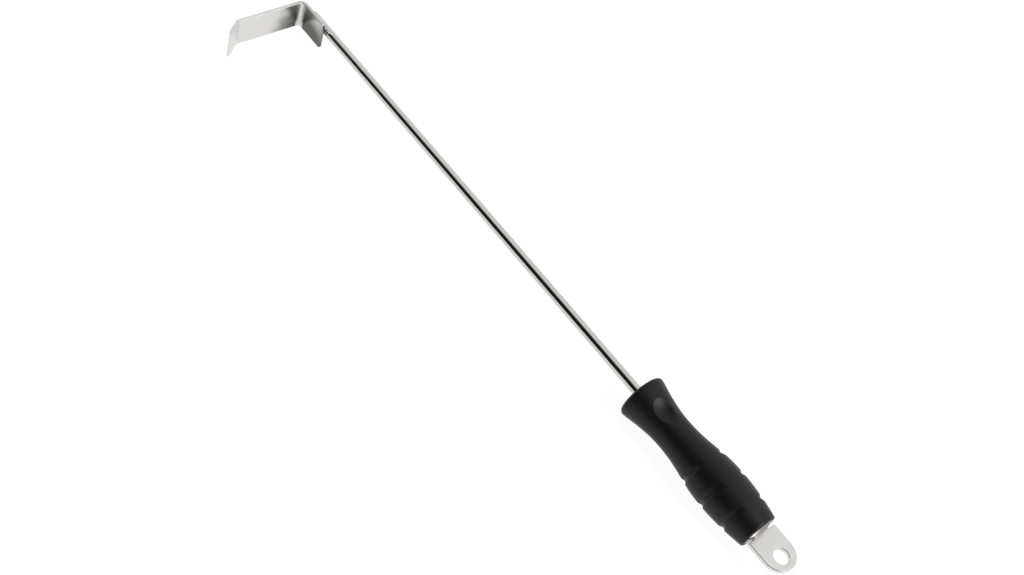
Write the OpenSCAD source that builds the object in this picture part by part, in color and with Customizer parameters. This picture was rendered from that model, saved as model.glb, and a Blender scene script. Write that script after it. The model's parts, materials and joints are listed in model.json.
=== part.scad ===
// Long-handled hive tool: a bent flat-steel scraper blade welded to a round rod,
// with a moulded grip and a hang tab at the butt end.
// It lies flat: the rod runs along X with the tab at +X, the blade reaches towards -Y, +Z is up.

/* [Overall] */
// Length from the blade's back face to the end of the hang tab
total_len = 600; // [450:10:700]

/* [Blade] */
// Width of the steel strip
strip_w = 25; // [20:1:30]
// Thickness of the steel strip
strip_t = 3; // [2:0.5:4]
// Length of the leg that is welded to the rod, measured from the blade's back face
short_leg = 32.5; // [28:0.5:45]
// From the rod's axis to the corner where the lip is bent
long_leg = 68; // [45:1:90]
// Length of the lip along its inner face
lip_len = 17.5; // [10:0.5:25]
// How far the lip is bent towards the handle
lip_angle = 36; // [15:1:60]
// Inside radius of the bend beside the rod
main_bend_r = 3; // [2:0.5:6]
// Inside radius of the lip's bend
lip_bend_r = 2; // [1:0.5:4]
// Length of the ground bevel behind the scraping edge
bevel_len = 5; // [3:0.5:8]
// How far the middle of the strip's width sits below the rod's axis
strip_drop = 3; // [0:0.5:5]
// Thickness left at the scraping edge
edge_land = 1.6; // [0.5:0.1:2]

/* [Rod] */
// Diameter of the rod
rod_d = 8; // [6:0.5:10]
// Length of rod welded along the blade's short leg
rod_lap = 22; // [12:1:24]
// Chamfer at the rod's blade end
rod_chamfer = 0.8; // [0.2:0.1:1.5]

/* [Grip] */
// Length of the grip
grip_len = 128.5; // [124:0.5:140]
// Widest diameter, at the middle of the finger grooves
bulge_d = 38.4; // [38.4:0.1:40]
// Diameter at the front flare
flare_d = 38.2; // [36:0.1:38.4]
// Diameter at the waist
waist_d = 28.2; // [27:0.1:30]
// Diameter just ahead of the rounded butt
butt_d = 31.2; // [31:0.1:32]
// Rounding of the front rim
front_round = 3; // [1.5:0.5:4]
// Rounding of the butt rim
butt_round = 2.2; // [1.5:0.1:2.4]
// Thickness of the soft skin over the hard core
skin_t = 3.2; // [2.6:0.1:4]
// Thickness of the skin across the front face
front_wall = 6; // [4:0.5:8]
// Radius of the finger grooves' section
groove_r = 4; // [3:0.5:5]
// Depth of each finger groove at the side of the grip
groove_depth = 2.2; // [1:0.1:2.4]
// How far each groove leans along the grip, from one side to the other
groove_skew = 2.2; // [0:0.1:4]
// Radius of the ball that shapes the thumb dimples
dimple_ball_r = 20; // [15:1:25]
// Depth of each thumb dimple
dimple_depth = 2.4; // [1:0.1:2.6]
// How far the dimples are turned round the grip from square to the tab
dimple_turn = 14; // [-20:1:20]

/* [Hang tab] */
// Width of the tab
tab_w = 28; // [24:0.5:29]
// Thickness of the plate
tab_t = 4; // [3:0.5:5]
// Diameter of the hang hole
hole_d = 12; // [8:0.5:13]
// From the hole's centre to the end of the tab
hole_inset = 10.8; // [10:0.1:13]
// From the end washer to the hole's centre
hole_reach = 20.2; // [16:0.1:24]
// Width of the tang inside the grip
tang_w = 16; // [12:1:18]
// Depth of the rod's slot that takes the tang
tang_slot = 15; // [10:1:20]
// Distance from the end washer to the rod's end
rod_gap = 40; // [30:1:55]

/* [End washer] */
// Diameter of the domed steel washer in the butt
washer_d = 26; // [24:0.2:26.4]
// Thickness of the washer at its middle
washer_t = 4; // [3:0.5:5]
// Height of its dome
washer_dome = 2.3; // [0.5:0.1:2.5]
// How far its crown stands out of the butt
washer_proud = 2; // [0.5:0.1:2.3]

/* [Hidden] */
$fn = 96;

eps = 0.01;
cut = 1;
rod_r = rod_d / 2;
bulge_r = bulge_d / 2;

// Where things stand along X
x_end = total_len / 2;
x_back = -total_len / 2;
x_hole = x_end - hole_inset;
x_seat = x_hole - hole_reach;
x_rod_end = x_seat - rod_gap;
x_strip_end = x_back + short_leg;
x_rod_start = x_strip_end - rod_lap;
x_grip = x_seat - grip_len - washer_proud;
x_washer = x_seat - washer_t;

// Blade outline, measured from the rod's axis
face_y = -rod_r;
reach = long_leg + lip_len * cos(lip_angle) + edge_land * sin(lip_angle);

// The origin is under the middle of the tool, on the surface that it lies on
axis_y = (reach - bulge_r) / 2;
axis_z = bulge_r;

// Grip outline: distance from its front, radius, slope
grip_stations = [
    [front_round, flare_d / 2, -0.12],
    [12, 17.25, -0.22],
    [25, 15, -0.14],
    [39, waist_d / 2, 0],
    [53, 14.9, 0.11],
    [67, 17.05, 0.17],
    [78, 18.65, 0.09],
    [91, bulge_r, 0],
    [107, 18.3, -0.09],
    [grip_len - butt_round, butt_d / 2, -0.19]
];
curve_steps = 5;
arc_steps = 8;

// Finger grooves: three on each side
groove_xs = [x_hole - 81.2, x_hole - 60.8, x_hole - 39.6];
groove_shift = 5;
dimple_x = x_hole - 124;
dimple_ball_z = radius_at(dimple_x - x_grip) + dimple_ball_r - dimple_depth;

// Radius at share u of the way along the stretch between two stations
function blend_r(a, b, u) =
    let (d = b[0] - a[0], u2 = u * u, u3 = u2 * u)
    (2 * u3 - 3 * u2 + 1) * a[1] + (u3 - 2 * u2 + u) * d * a[2]
    + (3 * u2 - 2 * u3) * b[1] + (u3 - u2) * d * b[2];

// The grip's radius at distance s from its front
function radius_at(s) =
    let (i = max([for (k = [0 : len(grip_stations) - 2]) if (grip_stations[k][0] <= s) k]),
         a = grip_stations[i], b = grip_stations[i + 1])
    blend_r(a, b, (s - a[0]) / (b[0] - a[0]));

// The grip's outline as [radius, distance from its front]
function grip_curve() = [
    for (i = [0 : len(grip_stations) - 2], k = [0 : curve_steps - 1])
        let (a = grip_stations[i], b = grip_stations[i + 1], u = k / curve_steps)
        [blend_r(a, b, u), a[0] + u * (b[0] - a[0])]
];

// Points on an arc from angle a0 to angle a1, both ends included
function arc_points(centre, r, a0, a1) =
    [for (k = [0 : arc_steps]) let (a = a0 + (a1 - a0) * k / arc_steps) centre + r * [cos(a), sin(a)]];

// Puts its children's Z axis on the rod's axis, starting at x
module on_axis(x) {
    translate([x, axis_y, axis_z]) rotate([0, 90, 0]) children();
}

// Stands an outline drawn across the rod, with Y first and Z second, on the rod's axis
module across(x, length) {
    translate([x, axis_y, axis_z]) rotate([90, 0, 90]) linear_extrude(length) children();
}

// The strip's bent outline: along its outer faces to the scraping edge, then back along the inner faces
module strip_outline() {
    outer_r = main_bend_r + strip_t;
    setback = lip_bend_r * tan(lip_angle / 2);
    main_c = [x_back + outer_r, face_y - outer_r];
    lip_c = [x_back + strip_t + lip_bend_r, setback - long_leg];
    along = [sin(lip_angle), -cos(lip_angle)];
    outward = [-cos(lip_angle), -sin(lip_angle)];
    tip = lip_c + lip_bend_r * outward + (lip_len - setback) * along;
    polygon(concat(
        [[x_strip_end, face_y]],
        arc_points(main_c, outer_r, 90, 180),
        arc_points(lip_c, lip_bend_r + strip_t, 180, 180 + lip_angle),
        [tip - bevel_len * along + strip_t * outward, tip + edge_land * outward, tip],
        arc_points(lip_c, lip_bend_r, 180 + lip_angle, 180),
        arc_points(main_c, main_bend_r, 180, 90),
        [[x_strip_end, face_y - strip_t]]
    ));
}

module blade() {
    color("silver") translate([0, axis_y, axis_z - strip_drop - strip_w / 2])
        linear_extrude(strip_w) strip_outline();
}

// One fillet of weld between the rod and the strip; flip is 0 above the rod and 1 below it
module blade_bead(flip) {
    root = 0.3 * rod_r;
    leg = 1.4 * rod_r;
    top = [-0.6 * rod_r, 0.8 * rod_r];
    end_gap = 1;
    across(x_rod_start + end_gap, rod_lap - 2 * end_gap) mirror([0, flip]) difference() {
        polygon([[face_y, root], [face_y, leg], top, [top[0], root]]);
        circle(rod_r);
    }
}

module blade_weld_upper() { color("gainsboro") blade_bead(0); }
module blade_weld_lower() { color("gainsboro") blade_bead(1); }

module rod() {
    color("lightgray") difference() {
        on_axis(x_rod_start) {
            cylinder(h = rod_chamfer, r1 = rod_r - rod_chamfer, r2 = rod_r);
            translate([0, 0, rod_chamfer])
                cylinder(h = x_rod_end - x_rod_start - rod_chamfer, r = rod_r);
        }
        translate([x_rod_end - tang_slot, axis_y - rod_d, axis_z - tab_t / 2])
            cube([tang_slot + cut, 2 * rod_d, tab_t]);
    }
}

// The four beads that close the rod's slot onto the tang
module tang_weld() {
    top = [0.6 * rod_r, 0.8 * rod_r];
    color("gainsboro")
    for (y_side = [0, 1], z_side = [0, 1])
        across(x_rod_end - tang_slot, tang_slot)
            mirror([y_side, 0]) mirror([0, z_side]) difference() {
                polygon([[top[0], tab_t / 2], [1.4 * rod_r, tab_t / 2], top]);
                circle(rod_r);
            }
}

module tang_plate() {
    end_x = x_end - tab_w / 2;
    color("gainsboro")
    translate([0, axis_y, axis_z - tab_t / 2]) linear_extrude(tab_t) difference() {
        union() {
            translate([x_rod_end - tang_slot, -tang_w / 2])
                square([x_seat - x_rod_end + tang_slot + eps, tang_w]);
            translate([x_seat, -tab_w / 2]) square([end_x - x_seat, tab_w]);
            translate([end_x, 0]) circle(tab_w / 2);
        }
        translate([x_hole, 0]) circle(hole_d / 2);
    }
}

module end_washer() {
    washer_r = washer_d / 2;
    dome = [for (k = [0 : arc_steps]) let (u = k / arc_steps)
        [washer_r * u, washer_t - washer_dome * u * u]];
    color("silver") difference() {
        on_axis(x_washer) rotate_extrude()
            polygon(concat([[0, 0]], dome, [[washer_r, 0]]));
        translate([x_washer - cut, axis_y - tang_w / 2, axis_z - tab_t / 2])
            cube([washer_t + 2 * cut, tang_w, tab_t]);
    }
}

// The hard core's outline, inside the skin
module core_shape() {
    inner = [for (p = grip_curve()) if (p[1] > front_wall) [p[0] - skin_t, p[1]]];
    core_end = x_washer - x_grip;
    butt_r = butt_d / 2 - skin_t;
    on_axis(x_grip) rotate_extrude()
        polygon(concat([[0, front_wall], [inner[0][0] - 1, front_wall]], inner,
                       [[butt_r, core_end], [0, core_end]]));
}

module grip_core() {
    color("dimgray") difference() {
        core_shape();
        on_axis(x_grip - cut) cylinder(h = x_rod_end - x_grip + cut, r = rod_r);
        translate([x_rod_end - tang_slot, axis_y - tang_w / 2, axis_z - tab_t / 2])
            cube([x_seat - x_rod_end + tang_slot, tang_w, tab_t]);
        tang_weld();
    }
}

// A finger groove on one side: a ring set off from the grip's axis, so that the groove fades out
module groove_ring(x, side) {
    ring_r = groove_shift + radius_at(x - x_grip) + groove_r - groove_depth;
    translate([x, axis_y - side * groove_shift, axis_z]) rotate([0, 90, 0])
        rotate_extrude() translate([ring_r, 0]) circle(groove_r);
}

module grip_sleeve() {
    front = arc_points([flare_d / 2 - front_round, front_round], front_round, -90, -8);
    butt = arc_points([butt_d / 2 - butt_round, grip_len - butt_round], butt_round, 0, 90);
    half = [x_end, bulge_d + groove_r, 2 * bulge_d];
    color("#1c1c1c") difference() {
        on_axis(x_grip) rotate_extrude()
            polygon(concat([[0, 0]], front, grip_curve(), butt, [[0, grip_len]]));
        core_shape();
        on_axis(x_grip - cut) cylinder(h = front_wall + 2 * cut, r = rod_r);
        on_axis(x_washer) cylinder(h = washer_t + cut, r = washer_d / 2);
        for (side = [-1, 1], x = groove_xs)
            intersection() {
                groove_ring(x + side * groove_skew / 2, side);
                translate([0, side > 0 ? axis_y : axis_y - half[1], axis_z - half[2] / 2])
                    cube(half);
            }
        for (turn = [dimple_turn, dimple_turn + 180])
            translate([dimple_x, axis_y, axis_z]) rotate([turn, 0, 0])
                translate([0, 0, dimple_ball_z]) sphere(dimple_ball_r);
    }
}

blade();
blade_weld_upper();
blade_weld_lower();
rod();
grip_core();
grip_sleeve();
end_washer();
tang_plate();
tang_weld();
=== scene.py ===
import bpy
import json
from math import cos, pi, radians, sin, sqrt, tan
from mathutils import Euler, Matrix, Vector

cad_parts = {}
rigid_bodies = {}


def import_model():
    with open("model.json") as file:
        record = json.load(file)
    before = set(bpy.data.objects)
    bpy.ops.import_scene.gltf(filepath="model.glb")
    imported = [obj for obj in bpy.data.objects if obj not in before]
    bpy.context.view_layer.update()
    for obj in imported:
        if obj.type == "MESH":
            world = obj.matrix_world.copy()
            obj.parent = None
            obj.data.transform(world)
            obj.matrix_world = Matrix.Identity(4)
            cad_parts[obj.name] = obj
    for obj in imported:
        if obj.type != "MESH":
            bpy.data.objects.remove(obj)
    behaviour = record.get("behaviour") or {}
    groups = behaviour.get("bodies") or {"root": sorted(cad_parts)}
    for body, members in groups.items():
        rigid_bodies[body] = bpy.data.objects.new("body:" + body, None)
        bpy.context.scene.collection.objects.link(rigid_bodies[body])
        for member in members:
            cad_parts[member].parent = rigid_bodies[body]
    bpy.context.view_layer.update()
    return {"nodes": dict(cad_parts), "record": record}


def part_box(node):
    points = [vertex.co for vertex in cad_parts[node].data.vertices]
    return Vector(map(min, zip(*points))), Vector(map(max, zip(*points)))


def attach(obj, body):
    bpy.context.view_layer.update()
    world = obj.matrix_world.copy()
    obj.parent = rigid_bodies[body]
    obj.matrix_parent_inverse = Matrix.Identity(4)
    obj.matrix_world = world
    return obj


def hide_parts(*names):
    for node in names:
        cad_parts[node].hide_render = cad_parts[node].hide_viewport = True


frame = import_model()
nodes = frame["nodes"]
mounts = {mount["name"]: mount for mount in frame["record"]["mounts"]}

mm = 0.001
cutterReach = 20 * mm  # cutters stand well clear of the plates that they cut
holeX, rodY, rodZ = mounts["hang_hole"]["pos_m"]  # the rod's axis passes through the middle of the hang hole
gripFront, gripBack = (corner.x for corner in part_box("grip_sleeve"))
washerFront, washerBack = (corner.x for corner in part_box("end_washer"))
bladeBack, stripEnd = (corner.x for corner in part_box("blade"))
rodStart, rodEnd = (corner.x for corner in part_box("rod"))


def deselectAll():
    if bpy.context.object and bpy.context.object.mode != "OBJECT":
        bpy.ops.object.mode_set(mode="OBJECT")
    bpy.ops.object.select_all(action="DESELECT")


def selectOnly(piece):
    deselectAll()
    piece.select_set(True)
    bpy.context.view_layer.objects.active = piece


def nameNew(name):
    # the object that was just added gets its name
    piece = bpy.context.object
    piece.name = name
    piece.data.name = name
    return piece


def applyModifier(piece, kind, **settings):
    modifier = piece.modifiers.new(kind.title(), kind)
    for key, value in settings.items():
        setattr(modifier, key, value)
    selectOnly(piece)
    bpy.ops.object.modifier_apply(modifier=modifier.name)


def cutAway(piece, cutter):
    # takes the cutter's shape out of the piece and throws the cutter away
    applyModifier(piece, "BOOLEAN", operation="DIFFERENCE", solver="EXACT", object=cutter)
    bpy.data.objects.remove(cutter)


sharpAngle = 40  # edges that turn more than this are rounded
roundSteps = 3


def roundEdges(piece, width):
    applyModifier(piece, "BEVEL", width=width, segments=roundSteps, limit_method="ANGLE",
                  angle_limit=radians(sharpAngle))


def smoothByAngle(piece, angle):
    selectOnly(piece)
    bpy.ops.object.shade_smooth_by_angle(angle=radians(angle))


def finishPiece(piece, slot, material, *replaced):
    # puts the place in the mesh, dresses the piece and ties it to the tool
    selectOnly(piece)
    bpy.ops.object.transform_apply(location=True, rotation=True, scale=True)
    piece.data.materials.clear()
    piece.data.materials.append(material)
    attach(piece, "root")
    if replaced:
        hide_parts(*replaced)


def arc(centre, radius, first, last, steps):
    # points on an arc, both ends included, angles in degrees
    turns = [radians(first + (last - first) * k / steps) for k in range(steps + 1)]
    return [(centre[0] + radius * cos(a), centre[1] + radius * sin(a)) for a in turns]


def plateFrom(name, outline, low, high):
    # a closed outline in X and Y, filled and extruded from height low to height high
    deselectAll()
    bpy.ops.mesh.primitive_circle_add(vertices=len(outline), radius=mm, fill_type="NGON")
    piece = nameNew(name)
    for vertex, (x, y) in zip(piece.data.vertices, outline):
        vertex.co = (x, y, low)
    bpy.ops.object.mode_set(mode="EDIT")
    bpy.ops.mesh.select_all(action="SELECT")
    bpy.ops.mesh.extrude_region_move(TRANSFORM_OT_translate={"value": (0, 0, high - low)})
    bpy.ops.mesh.select_all(action="SELECT")
    bpy.ops.mesh.normals_make_consistent(inside=False)
    bpy.ops.object.mode_set(mode="OBJECT")
    return piece


def turnedFrom(name, outline, steps):
    # a closed half outline of (x, radius) points, with both ends on the rod's axis, spun round it
    deselectAll()
    bpy.ops.mesh.primitive_circle_add(vertices=len(outline), radius=mm, fill_type="NOTHING")
    piece = nameNew(name)
    for vertex, (x, radius) in zip(piece.data.vertices, outline):
        vertex.co = (x, rodY + radius, rodZ)
    bpy.ops.object.mode_set(mode="EDIT")
    bpy.ops.mesh.select_all(action="SELECT")
    bpy.ops.mesh.spin(steps=steps, angle=2 * pi, center=(0, rodY, rodZ), axis=(1, 0, 0))
    bpy.ops.mesh.select_all(action="SELECT")
    bpy.ops.mesh.remove_doubles(threshold=0.002 * mm)
    bpy.ops.mesh.delete_loose(use_verts=True, use_edges=True, use_faces=False)
    bpy.ops.mesh.select_all(action="SELECT")
    bpy.ops.mesh.normals_make_consistent(inside=False)
    bpy.ops.object.mode_set(mode="OBJECT")
    return piece


def linear(hexColour):
    # an sRGB hex colour turned to linear light
    channels = [int(hexColour[i:i + 2], 16) / 255 for i in (1, 3, 5)]
    return [c / 12.92 if c <= 0.04045 else ((c + 0.055) / 1.055) ** 2.4 for c in channels] + [1.0]


def addNode(tree, kind, fields=None, sockets=None):
    # adds a node, sets its fields, and fills each named or numbered socket with a value or a link
    node = tree.nodes.new(kind)
    for key, value in (fields or {}).items():
        setattr(node, key, value)
    for key, value in (sockets or {}).items():
        if isinstance(value, bpy.types.NodeSocket):
            tree.links.new(value, node.inputs[key])
        else:
            node.inputs[key].default_value = value
    return node.outputs


def newMaterial(name, **settings):
    material = bpy.data.materials.new(name)
    material.use_nodes = True
    shader = material.node_tree.nodes["Principled BSDF"]
    for key, value in settings.items():
        shader.inputs[key.replace("_", " ")].default_value = value
    return material, material.node_tree, shader


# AISI 304 strip, ground with a fine belt: fine lines along its length and soft, slightly stretched
# reflections. The real lines are finer; these are drawn just coarse enough to show.
satinSteel = {"colour": "#e0e0de", "shade": "#cecdcb", "lineMm": 0.35, "bumpMm": 0.004, "cloudMm": 14,
              "roughness": 0.26, "smoother": 0.05, "rougher": 0.08}


# AISI 304 sheet as pressed: greyer than the ground pieces, with a soft grain
pressedSteel = {**satinSteel, "colour": "#a3a2a0", "shade": "#8c8b88", "roughness": 0.3}

# The blade's corner: a painted dark reflection greys the strip beside the bend, and the inside of the bend
# itself is left bright.
# Centre and bend are in mm from the blade's back and the rod's axis.
cornerTone = {"grey": "#5a5a59", "centre": (12, -10, -15.5), "shrink": (0.3, 0.7, 0.62), "reach": (5, 21),
              "patchMm": 9, "ragged": 8, "bend": (6, -10), "bright": (3.02, 3.3), "brightShare": 0.1}


def toneCorner(tree, place, tint):
    # paints a dark reflection into the tint round the corner's centre and leaves the inside of the bend
    # bright
    make = cornerTone
    centre = Vector((bladeBack, rodY, rodZ)) + Vector(make["centre"]) * mm
    bend = Vector((bladeBack + make["bend"][0] * mm, rodY + make["bend"][1] * mm, 0))
    offset = addNode(tree, "ShaderNodeVectorMath", {"operation": "SUBTRACT"}, {0: place, 1: centre})["Vector"]
    shrunk = addNode(tree, "ShaderNodeVectorMath", {"operation": "MULTIPLY"}, {
        0: offset, 1: make["shrink"]})["Vector"]
    far = addNode(tree, "ShaderNodeVectorMath", {"operation": "LENGTH"}, {0: shrunk})["Value"]
    patch = addNode(tree, "ShaderNodeTexNoise", sockets={
        "Vector": place, "Scale": 1 / (make["patchMm"] * mm), "Detail": 3.0})["Fac"]
    ragged = addNode(tree, "ShaderNodeMath", {"operation": "MULTIPLY_ADD"}, {
        0: patch, 1: make["ragged"] * mm, 2: far})["Value"]
    nearest, farthest = ((reach + make["ragged"] / 2) * mm for reach in make["reach"])
    grey = addNode(tree, "ShaderNodeMapRange", {"interpolation_type": "SMOOTHSTEP"}, {
        "Value": ragged, "From Min": nearest, "From Max": farthest, "To Min": 1.0, "To Max": 0.0})["Result"]
    aside = addNode(tree, "ShaderNodeVectorMath", {"operation": "SUBTRACT"}, {0: place, 1: bend})["Vector"]
    level = addNode(tree, "ShaderNodeVectorMath", {"operation": "MULTIPLY"}, {
        0: aside, 1: (1, 1, 0)})["Vector"]
    near = addNode(tree, "ShaderNodeVectorMath", {"operation": "LENGTH"}, {0: level})["Value"]
    share = addNode(tree, "ShaderNodeMapRange", sockets={
        "Value": near, "From Min": make["bright"][0] * mm, "From Max": make["bright"][1] * mm,
        "To Min": make["brightShare"], "To Max": 1.0})["Result"]
    total = addNode(tree, "ShaderNodeMath", {"operation": "MULTIPLY"}, {0: grey, 1: share})["Value"]
    return addNode(tree, "ShaderNodeMix", {"data_type": "RGBA"}, {
        0: total, 6: tint, 7: linear(make["grey"])})[2]


def groundSteel(name, make, stretch, cornered=False):
    # stretch lengthens the noise along each axis, so the ground lines run where it is largest
    material, tree, shader = newMaterial(name, Metallic=1.0)
    place = addNode(tree, "ShaderNodeTexCoord")["Object"]
    across = 1 / (make["lineMm"] * mm)
    lines = addNode(tree, "ShaderNodeMapping", sockets={
        "Vector": place, "Scale": [across / s for s in stretch]})["Vector"]
    scratch = addNode(tree, "ShaderNodeTexNoise", sockets={
        "Vector": lines, "Scale": 1.0, "Detail": 4.0, "Roughness": 0.6})["Fac"]
    cloud = addNode(tree, "ShaderNodeTexNoise", sockets={
        "Vector": place, "Scale": 1 / (make["cloudMm"] * mm), "Detail": 3.0})["Fac"]
    tint = addNode(tree, "ShaderNodeMix", {"data_type": "RGBA"}, {
        0: scratch, 6: linear(make["shade"]), 7: linear(make["colour"])})[2]
    # the blade's corner gets a painted dark reflection mixed into its colour
    if cornered:
        tint = toneCorner(tree, place, tint)
    tree.links.new(tint, shader.inputs["Base Color"])
    gloss = addNode(tree, "ShaderNodeMapRange", sockets={
        "Value": cloud, "From Min": 0.3, "From Max": 0.7,
        "To Min": make["roughness"] - make["smoother"],
        "To Max": make["roughness"] + make["rougher"]})["Result"]
    tree.links.new(gloss, shader.inputs["Roughness"])
    bump = addNode(tree, "ShaderNodeBump", sockets={
        "Height": scratch, "Strength": 1.0, "Distance": make["bumpMm"] * mm})["Normal"]
    tree.links.new(bump, shader.inputs["Normal"])
    return material


# AISI 304 bright-drawn bar, buffed: near-mirror, with the faintest drawing lines along its length
brightBar = {"colour": "#c6c6c5", "lineMm": 0.5, "lineStretch": 60, "bumpMm": 0.0012,
             "roughness": 0.09, "smoother": 0.03, "rougher": 0.04}


def buffedSteel():
    make = brightBar
    material, tree, shader = newMaterial("buffedBarSteel", Metallic=1.0, Base_Color=linear(make["colour"]))
    place = addNode(tree, "ShaderNodeTexCoord")["Object"]
    across = 1 / (make["lineMm"] * mm)
    lines = addNode(tree, "ShaderNodeMapping", sockets={
        "Vector": place, "Scale": (across / make["lineStretch"], across, across)})["Vector"]
    drawn = addNode(tree, "ShaderNodeTexNoise", sockets={"Vector": lines, "Scale": 1.0, "Detail": 3.0})["Fac"]
    gloss = addNode(tree, "ShaderNodeMapRange", sockets={
        "Value": drawn, "From Min": 0.3, "From Max": 0.7,
        "To Min": make["roughness"] - make["smoother"],
        "To Max": make["roughness"] + make["rougher"]})["Result"]
    tree.links.new(gloss, shader.inputs["Roughness"])
    bump = addNode(tree, "ShaderNodeBump", sockets={
        "Height": drawn, "Strength": 1.0, "Distance": make["bumpMm"] * mm})["Normal"]
    tree.links.new(bump, shader.inputs["Normal"])
    return material


# TIG weld, pickled clean: duller than the strip, with a little straw colour left
weldMetal = {"colour": "#b9b6b0", "straw": "#a08a6c", "cloudMm": 4, "strawShare": 0.6, "roughness": 0.36}


def weldSteel():
    make = weldMetal
    material, tree, shader = newMaterial("pickledTigWeld", Metallic=1.0, Roughness=make["roughness"])
    place = addNode(tree, "ShaderNodeTexCoord")["Object"]
    cloud = addNode(tree, "ShaderNodeTexNoise", sockets={
        "Vector": place, "Scale": 1 / (make["cloudMm"] * mm), "Detail": 4.0})["Fac"]
    share = addNode(tree, "ShaderNodeMapRange", sockets={
        "Value": cloud, "From Min": 0.45, "From Max": 0.75, "To Max": make["strawShare"]})["Result"]
    tint = addNode(tree, "ShaderNodeMix", {"data_type": "RGBA"}, {
        0: share, 6: linear(make["colour"]), 7: linear(make["straw"])})[2]
    tree.links.new(tint, shader.inputs["Base Color"])
    return material


# Black thermoplastic rubber moulded in a spark-eroded cavity: matte, a fine pebble, a faint sheen
gripRubber = {"colour": "#0d0d0d", "dust": "#151415", "grainMm": 0.45, "fineMm": 0.8, "cloudMm": 18,
              "roughness": 0.46, "spread": 0.06, "bumpMm": 0.05, "bumpShare": 0.35, "sheen": 0.25}


def mouldedRubber():
    make = gripRubber
    material, tree, shader = newMaterial("mouldedRubber", Specular_IOR_Level=make["sheen"])
    place = addNode(tree, "ShaderNodeTexCoord")["Object"]
    grain = addNode(tree, "ShaderNodeTexVoronoi", sockets={
        "Vector": place, "Scale": 1 / (make["grainMm"] * mm), "Randomness": 1.0})["Distance"]
    fine = addNode(tree, "ShaderNodeTexNoise", sockets={
        "Vector": place, "Scale": 1 / (make["fineMm"] * mm), "Detail": 5.0})["Fac"]
    cloud = addNode(tree, "ShaderNodeTexNoise", sockets={
        "Vector": place, "Scale": 1 / (make["cloudMm"] * mm), "Detail": 4.0})["Fac"]
    tint = addNode(tree, "ShaderNodeMix", {"data_type": "RGBA"}, {
        0: cloud, 6: linear(make["colour"]), 7: linear(make["dust"])})[2]
    tree.links.new(tint, shader.inputs["Base Color"])
    gloss = addNode(tree, "ShaderNodeMapRange", sockets={
        "Value": fine, "From Min": 0.3, "From Max": 0.7,
        "To Min": make["roughness"] - make["spread"],
        "To Max": make["roughness"] + make["spread"]})["Result"]
    tree.links.new(gloss, shader.inputs["Roughness"])
    height = addNode(tree, "ShaderNodeMath", {"operation": "ADD"}, {0: grain, 1: fine})["Value"]
    bump = addNode(tree, "ShaderNodeBump", sockets={
        "Height": height, "Strength": make["bumpShare"], "Distance": make["bumpMm"] * mm})["Normal"]
    tree.links.new(bump, shader.inputs["Normal"])
    return material


# Black polypropylene: the hard core under the skin, a little glossier than the rubber
corePlastic = {"colour": "#262626", "cloudMm": 3, "roughness": 0.45, "spread": 0.08}


def mouldedCore():
    make = corePlastic
    material, tree, shader = newMaterial("mouldedPolypropylene", Base_Color=linear(make["colour"]))
    place = addNode(tree, "ShaderNodeTexCoord")["Object"]
    cloud = addNode(tree, "ShaderNodeTexNoise", sockets={
        "Vector": place, "Scale": 1 / (make["cloudMm"] * mm), "Detail": 3.0})["Fac"]
    gloss = addNode(tree, "ShaderNodeMapRange", sockets={
        "Value": cloud, "To Min": make["roughness"] - make["spread"],
        "To Max": make["roughness"] + make["spread"]})["Result"]
    tree.links.new(gloss, shader.inputs["Roughness"])
    return material


# the blade strip carries the painted dark reflection beside its main bend
bladeSteel = groundSteel("groundStripSteel", satinSteel, (1, 60, 1), cornered=True)
tabSteel = groundSteel("groundPlateSteel", satinSteel, (60, 1, 1))
washerSteel = groundSteel("pressedWasherSteel", pressedSteel, (1, 12, 12))
rodSteel = buffedSteel()
beadSteel = weldSteel()
skinRubber = mouldedRubber()
corePlasticMaterial = mouldedCore()
print("materials ready")


# Blade: one strip with a square bend beside the rod and a shallow bend at the lip, ground to an edge
bladeMake = {"thick": 3, "longLeg": 68, "lip": 17.5, "lipAngle": 36, "mainBend": 3, "lipBend": 2,
             "bevel": 5, "land": 1.6, "edgeRound": 0.5, "rodRadius": 4, "mainSteps": 16, "lipSteps": 8}


def makeBlade():
    make = bladeMake
    thick = make["thick"] * mm
    faceY = rodY - make["rodRadius"] * mm
    inner, lipInner = make["mainBend"] * mm, make["lipBend"] * mm
    angle = radians(make["lipAngle"])
    setback = lipInner * tan(angle / 2)
    main = (bladeBack + inner + thick, faceY - inner - thick)
    lip = (bladeBack + thick + lipInner, rodY - make["longLeg"] * mm + setback)
    along = Vector((sin(angle), -cos(angle)))
    outward = Vector((-cos(angle), -sin(angle)))
    tip = Vector(lip) + lipInner * outward + (make["lip"] * mm - setback) * along
    bevelStart = tip - make["bevel"] * mm * along + thick * outward
    outline = [(stripEnd, faceY)]
    outline += arc(main, inner + thick, 90, 180, make["mainSteps"])
    outline += arc(lip, lipInner + thick, 180, 180 + make["lipAngle"], make["lipSteps"])
    outline += [tuple(bevelStart), tuple(tip + make["land"] * mm * outward), tuple(tip)]
    outline += arc(lip, lipInner, 180 + make["lipAngle"], 180, make["lipSteps"])
    outline += arc(main, inner, 180, 90, make["mainSteps"])
    outline += [(stripEnd, faceY - thick)]
    low, high = (corner.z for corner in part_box("blade"))
    blade = plateFrom("bladeStrip", outline, low, high)
    roundEdges(blade, make["edgeRound"] * mm)
    smoothByAngle(blade, 12)
    finishPiece(blade, "satin_steel", bladeSteel, "blade")


makeBlade()
print("blade ready")

# Rod: bright bar, chamfered at the blade and slotted at the other end for the tang
rodMake = {"radius": 4, "chamfer": 0.8, "slotWide": 4, "slotDeep": 15, "sides": 128}


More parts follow.
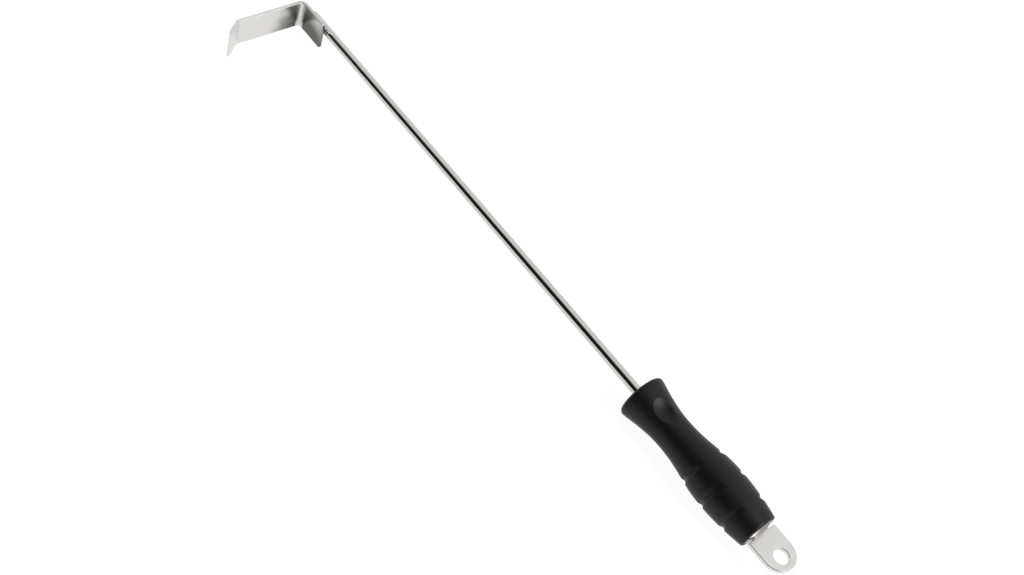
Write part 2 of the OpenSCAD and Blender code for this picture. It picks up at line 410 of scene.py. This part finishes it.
def makeRod():
    make = rodMake
    radius = make["radius"] * mm
    length = rodEnd - rodStart
    deselectAll()
    bpy.ops.mesh.primitive_cylinder_add(
        vertices=make["sides"], radius=radius, depth=length,
        location=((rodStart + rodEnd) / 2, rodY, rodZ), rotation=(0, pi / 2, 0))
    rod = nameNew("rodBar")
    bpy.ops.object.transform_apply(location=True, rotation=True, scale=True)
    roundEdges(rod, make["chamfer"] * mm)
    bpy.ops.mesh.primitive_cube_add(size=1, location=(rodEnd, rodY, rodZ))
    slot = bpy.context.object
    slot.scale = (2 * make["slotDeep"] * mm, 4 * radius, make["slotWide"] * mm)
    cutAway(rod, slot)
    smoothByAngle(rod, 30)
    finishPiece(rod, "polished_steel", rodSteel, "rod")


makeRod()
print("rod ready")

# Blade welds: two beads in the corners between rod and strip, each a row of overlapping ripples
weldMake = {"pitch": 1.3, "radius": 1.75, "height": 0.84, "side": 0.8, "voxel": 0.22, "endGap": 2.2,
            "squash": 0.75, "swell": 0.07, "swellPitch": 2.4, "lean": 0.25, "turn": 0.2}


def makeWeldBead(name, node, side):
    make = weldMake
    radius = make["radius"] * mm
    low, high = (corner.x + way * make["endGap"] * mm for corner, way in zip(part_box(node), (1, -1)))
    count = int((high - low) / (make["pitch"] * mm)) + 1
    place = Vector((0, rodY - make["side"] * rodMake["radius"] * mm,
                    rodZ + side * make["height"] * rodMake["radius"] * mm))
    deselectAll()
    for k in range(count):
        place.x = low + (high - low) * k / (count - 1)
        bpy.ops.mesh.primitive_uv_sphere_add(segments=24, ring_count=12, radius=radius, location=place)
        # each ripple leans back a little and varies in size, as a hand-fed bead does
        swell = 1 + make["swell"] * sin(make["swellPitch"] * k)
        bpy.context.object.scale = (make["squash"], swell, swell)
        bpy.context.object.rotation_euler = (0, make["lean"] * side, make["turn"])
    beads = [o for o in bpy.context.scene.objects if o.name.startswith("Sphere")]
    deselectAll()
    for bead in beads:
        bead.select_set(True)
    bpy.context.view_layer.objects.active = beads[0]
    bpy.ops.object.join()
    weld = nameNew(name)
    bpy.ops.object.transform_apply(location=True, rotation=True, scale=True)
    applyModifier(weld, "REMESH", mode="VOXEL", voxel_size=make["voxel"] * mm)
    applyModifier(weld, "SMOOTH", factor=0.5, iterations=3)
    selectOnly(weld)
    bpy.ops.object.shade_smooth()
    finishPiece(weld, "weld_steel", beadSteel, node)


makeWeldBead("bladeWeldUpper", "blade_weld_upper", 1)
makeWeldBead("bladeWeldLower", "blade_weld_lower", -1)
print("welds ready")

# Tang plate: shouldered flat bar with a round end and a drilled hang hole
tangMake = {"tangWide": 16, "tabWide": 28, "hole": 6, "edgeRound": 0.8, "endSteps": 48, "holeSides": 96}


def makeTang():
    make = tangMake
    tangHalf, tabHalf = make["tangWide"] / 2 * mm, make["tabWide"] / 2 * mm
    low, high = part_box("tang_plate")
    front = low.x
    outline = [(front, rodY - tangHalf), (washerBack, rodY - tangHalf), (washerBack, rodY - tabHalf)]
    outline += arc((high.x - tabHalf, rodY), tabHalf, -90, 90, make["endSteps"])
    outline += [(washerBack, rodY + tabHalf), (washerBack, rodY + tangHalf), (front, rodY + tangHalf)]
    tang = plateFrom("tangPlate", outline, low.z, high.z)
    bpy.ops.mesh.primitive_cylinder_add(vertices=make["holeSides"], radius=make["hole"] * mm,
                                        depth=cutterReach, location=(holeX, rodY, rodZ))
    cutAway(tang, bpy.context.object)
    roundEdges(tang, make["edgeRound"] * mm)
    smoothByAngle(tang, 20)
    finishPiece(tang, "satin_steel", tabSteel, "tang_plate")


makeTang()
print("tang plate ready")

# End washer: pressed steel, slightly domed, slotted for the tang
washerMake = {"radius": 13, "dome": 2.3, "rings": 10, "sides": 96}


def makeWasher():
    make = washerMake
    radius, dome = make["radius"] * mm, make["dome"] * mm
    shares = [k / make["rings"] for k in range(make["rings"], -1, -1)]
    outline = [(washerFront, 0), (washerFront, radius)]
    outline += [(washerBack - dome * u * u, radius * u) for u in shares]
    washer = turnedFrom("endWasher", outline, make["sides"])
    bpy.ops.mesh.primitive_cube_add(size=1, location=(washerBack, rodY, rodZ))
    slot = bpy.context.object
    slot.scale = (cutterReach, tangMake["tangWide"] * mm, rodMake["slotWide"] * mm)
    cutAway(washer, slot)
    smoothByAngle(washer, 30)
    finishPiece(washer, "satin_steel", washerSteel, "end_washer")


makeWasher()
print("end washer ready")

# Grip skin: a moulded handle with a flare, a waist, three finger grooves a side and two thumb dimples
gripMake = {
    "stations": [(3, 19.1, -0.12), (12, 17.25, -0.22), (25, 15, -0.14), (39, 14.1, 0), (53, 14.9, 0.11),
                 (67, 17.05, 0.17), (78, 18.65, 0.09), (91, 19.15, 0), (107, 18.3, -0.09),
                 (126.3, 15.6, -0.19)],
    "frontRound": 3, "buttRound": 2.2, "ring": 0.7, "sides": 168, "carved": (2, 126), "carvedOutside": 9,
    "grooves": (81.2, 60.8, 39.6), "grooveDeep": 1.9, "grooveHalf": 3.2, "grooveFade": 62,
    "grooveSkew": 2.2, "grooveFull": 1.25,
    "dimple": 124, "dimpleBall": 20, "dimpleDeep": 2.4, "dimpleSoft": 0.15, "dimpleTurn": 14,
    "boreRadius": 4.15, "mouth": ((0, 0), (0.5, 0.9), (0, 2.2)), "faceRings": (8, 11.5),
    "recess": 13.1, "recessDeep": 2,
}


def gripRadius(s):
    # radius in mm at s mm from the grip's front, eased between the stations
    stations = gripMake["stations"]
    k = max(i for i in range(len(stations) - 1) if stations[i][0] <= s or i == 0)
    (s0, r0, m0), (s1, r1, m1) = stations[k], stations[k + 1]
    d = s1 - s0
    u = (s - s0) / d
    return ((2 * u ** 3 - 3 * u ** 2 + 1) * r0 + (u ** 3 - 2 * u ** 2 + u) * d * m0
            + (3 * u ** 2 - 2 * u ** 3) * r1 + (u ** 3 - u ** 2) * d * m1)


def softLess(a, b, soft):
    # the lesser of two heights, with the corner between them rounded
    blend = max(soft - abs(a - b), 0) / soft
    return min(a, b) - blend * blend * soft / 4


def carveGrip(point):
    # moves one point of the turned handle in to the floor of a groove or a dimple
    make = gripMake
    y, z = (point.y - rodY) / mm, (point.z - rodZ) / mm
    radius = sqrt(y * y + z * z)
    behind = (holeX - point.x) / mm
    s = (point.x - gripFront) / mm
    first, last = make["carved"]
    if radius < make["carvedOutside"] or s < first or s > last:
        return
    lean = y / radius
    edge = cos(radians(make["grooveFade"]))
    for centre in make["grooves"]:
        # a rounded V across the side of the handle, which fades towards the top and the bottom
        off = abs(behind - centre + make["grooveSkew"] / 2 * lean) / make["grooveHalf"]
        fade = (abs(lean) - edge) / (1 - edge)
        if off < 1 and fade > 0:
            radius -= make["grooveDeep"] * min(1, make["grooveFull"] * fade) * (0.5 + 0.5 * cos(pi * off))
    # the point as seen with the dimple's middle straight up
    spot = Matrix.Rotation(radians(-make["dimpleTurn"]), 2) @ Vector((y, z)) * radius / sqrt(y * y + z * z)
    ballZ = gripRadius((holeX - gripFront) / mm - make["dimple"]) + make["dimpleBall"] - make["dimpleDeep"]
    flat = (behind - make["dimple"]) ** 2 + spot.x ** 2
    if flat < make["dimpleBall"] ** 2:
        floor = ballZ - sqrt(make["dimpleBall"] ** 2 - flat)
        side = 1 if spot.y > 0 else -1
        spot.y = side * softLess(abs(spot.y), floor, make["dimpleSoft"])
    y, z = Matrix.Rotation(radians(make["dimpleTurn"]), 2) @ spot
    point.y, point.z = rodY + y * mm, rodZ + z * mm


def makeGrip():
    make = gripMake
    length = (gripBack - gripFront) / mm
    turn, butt = make["frontRound"], make["buttRound"]
    (first, frontRadius, _), (last, buttRadius, _) = make["stations"][0], make["stations"][-1]
    count = int((last - first) / make["ring"])
    outline = [(s, make["boreRadius"] + wider) for s, wider in make["mouth"]]
    outline += [(0, r) for r in make["faceRings"]]
    outline += [(turn - turn * cos(radians(a)), frontRadius - turn + turn * sin(radians(a)))
                for a in range(0, 85, 7)]
    outline += [(first + (last - first) * k / count, gripRadius(first + (last - first) * k / count))
                for k in range(count)]
    outline += [(length - butt + butt * sin(radians(a)), buttRadius - butt + butt * cos(radians(a)))
                for a in range(0, 91, 9)]
    outline += [(length, make["recess"]), (length - make["recessDeep"], make["recess"])]
    outline += [(length - make["recessDeep"], make["boreRadius"])]
    points = [(gripFront + s * mm, r * mm) for s, r in outline]
    grip = turnedFrom("gripSkin", points, make["sides"])
    for vertex in grip.data.vertices:
        carveGrip(vertex.co)
    smoothByAngle(grip, 40)
    finishPiece(grip, "grip_rubber", skinRubber, "grip_sleeve")


makeGrip()
print("grip ready")

# The pieces inside the grip stay as they are in the frame
for node, material in (("grip_core", corePlasticMaterial), ("tang_weld", beadSteel)):
    nodes[node].data.materials.clear()
    nodes[node].data.materials.append(material)

# Floor: a plain white studio table, wide enough to fill the view
floorMake = {"size": 12, "colour": "#5a5a5a", "glow": 0.95, "roughness": 0.8, "sheen": 0.1}


def makeFloor():
    make = floorMake
    bpy.ops.mesh.primitive_plane_add(size=make["size"], location=(0, 0, 0))
    floor = nameNew("studioTable")
    material, tree, shader = newMaterial("tableLaminate", Roughness=make["roughness"],
                                         Specular_IOR_Level=make["sheen"], Base_Color=linear(make["colour"]))
    shader.inputs["Emission Color"].default_value = (1, 1, 1, 1)
    shader.inputs["Emission Strength"].default_value = make["glow"]
    floor.data.materials.append(material)


makeFloor()

# Light: a soft box over the handle's end, and a room that is pale behind the tool
lights = {
    "endBox": {"place": (1.25, 0.25, 1.1), "aim": (0.15, 0.03, 0), "size": (0.45, 0.45), "watts": 15},
}


def makeLights():
    for name, make in lights.items():
        data = bpy.data.lights.new(name, "AREA")
        data.shape = "RECTANGLE"
        data.size, data.size_y = make["size"]
        data.energy = make["watts"]
        light = bpy.data.objects.new(name, data)
        bpy.context.scene.collection.objects.link(light)
        light.location = make["place"]
        away = Vector(make["place"]) - Vector(make["aim"])
        light.rotation_euler = away.to_track_quat("Z", "Y").to_euler()


# Room: dark on the camera's side and bright behind the tool, with a soft change between them
roomMake = {"dark": 0.015, "pale": 0.97, "from": -0.4, "to": 0.05}


def makeRoom():
    make = roomMake
    world = bpy.data.worlds.new("studioRoom")
    bpy.context.scene.world = world
    world.use_nodes = True
    tree = world.node_tree
    way = addNode(tree, "ShaderNodeTexCoord")["Generated"]
    parts = addNode(tree, "ShaderNodeSeparateXYZ", sockets={"Vector": way})
    share = addNode(tree, "ShaderNodeMapRange", {"interpolation_type": "SMOOTHSTEP"}, {
        "Value": parts["Y"], "From Min": make["from"], "From Max": make["to"]})["Result"]
    tint = addNode(tree, "ShaderNodeMix", {"data_type": "RGBA"}, {
        0: share, 6: (*[make["dark"]] * 3, 1), 7: (*[make["pale"]] * 3, 1)})[2]
    back = tree.nodes["Background"]
    tree.links.new(tint, back.inputs["Color"])
    back.inputs["Strength"].default_value = 1.0


makeLights()
makeRoom()
print("light ready")

# Camera: above the handle's end, looking along the tool towards the blade
cameraMake = {"place": (346.36, -521.37, 753.12), "azimuth": 31.96, "height": 49.72, "roll": 24.27,
              "lens": 45.19, "sensor": 36, "clip": (0.01, 50)}


def makeCamera():
    make = cameraMake
    data = bpy.data.cameras.new("studioCamera")
    data.lens = make["lens"]
    data.sensor_width = make["sensor"]
    data.clip_start, data.clip_end = make["clip"]
    camera = bpy.data.objects.new("studioCamera", data)
    bpy.context.scene.collection.objects.link(camera)
    turn = Euler((radians(90 - make["height"]), 0, radians(make["azimuth"]))).to_matrix()
    turn = turn @ Matrix.Rotation(radians(make["roll"]), 3, "Z")
    camera.matrix_world = Matrix.Translation(Vector(make["place"]) * mm) @ turn.to_4x4()
    bpy.context.scene.camera = camera


makeCamera()
bpy.context.scene.view_settings.view_transform = "Standard"
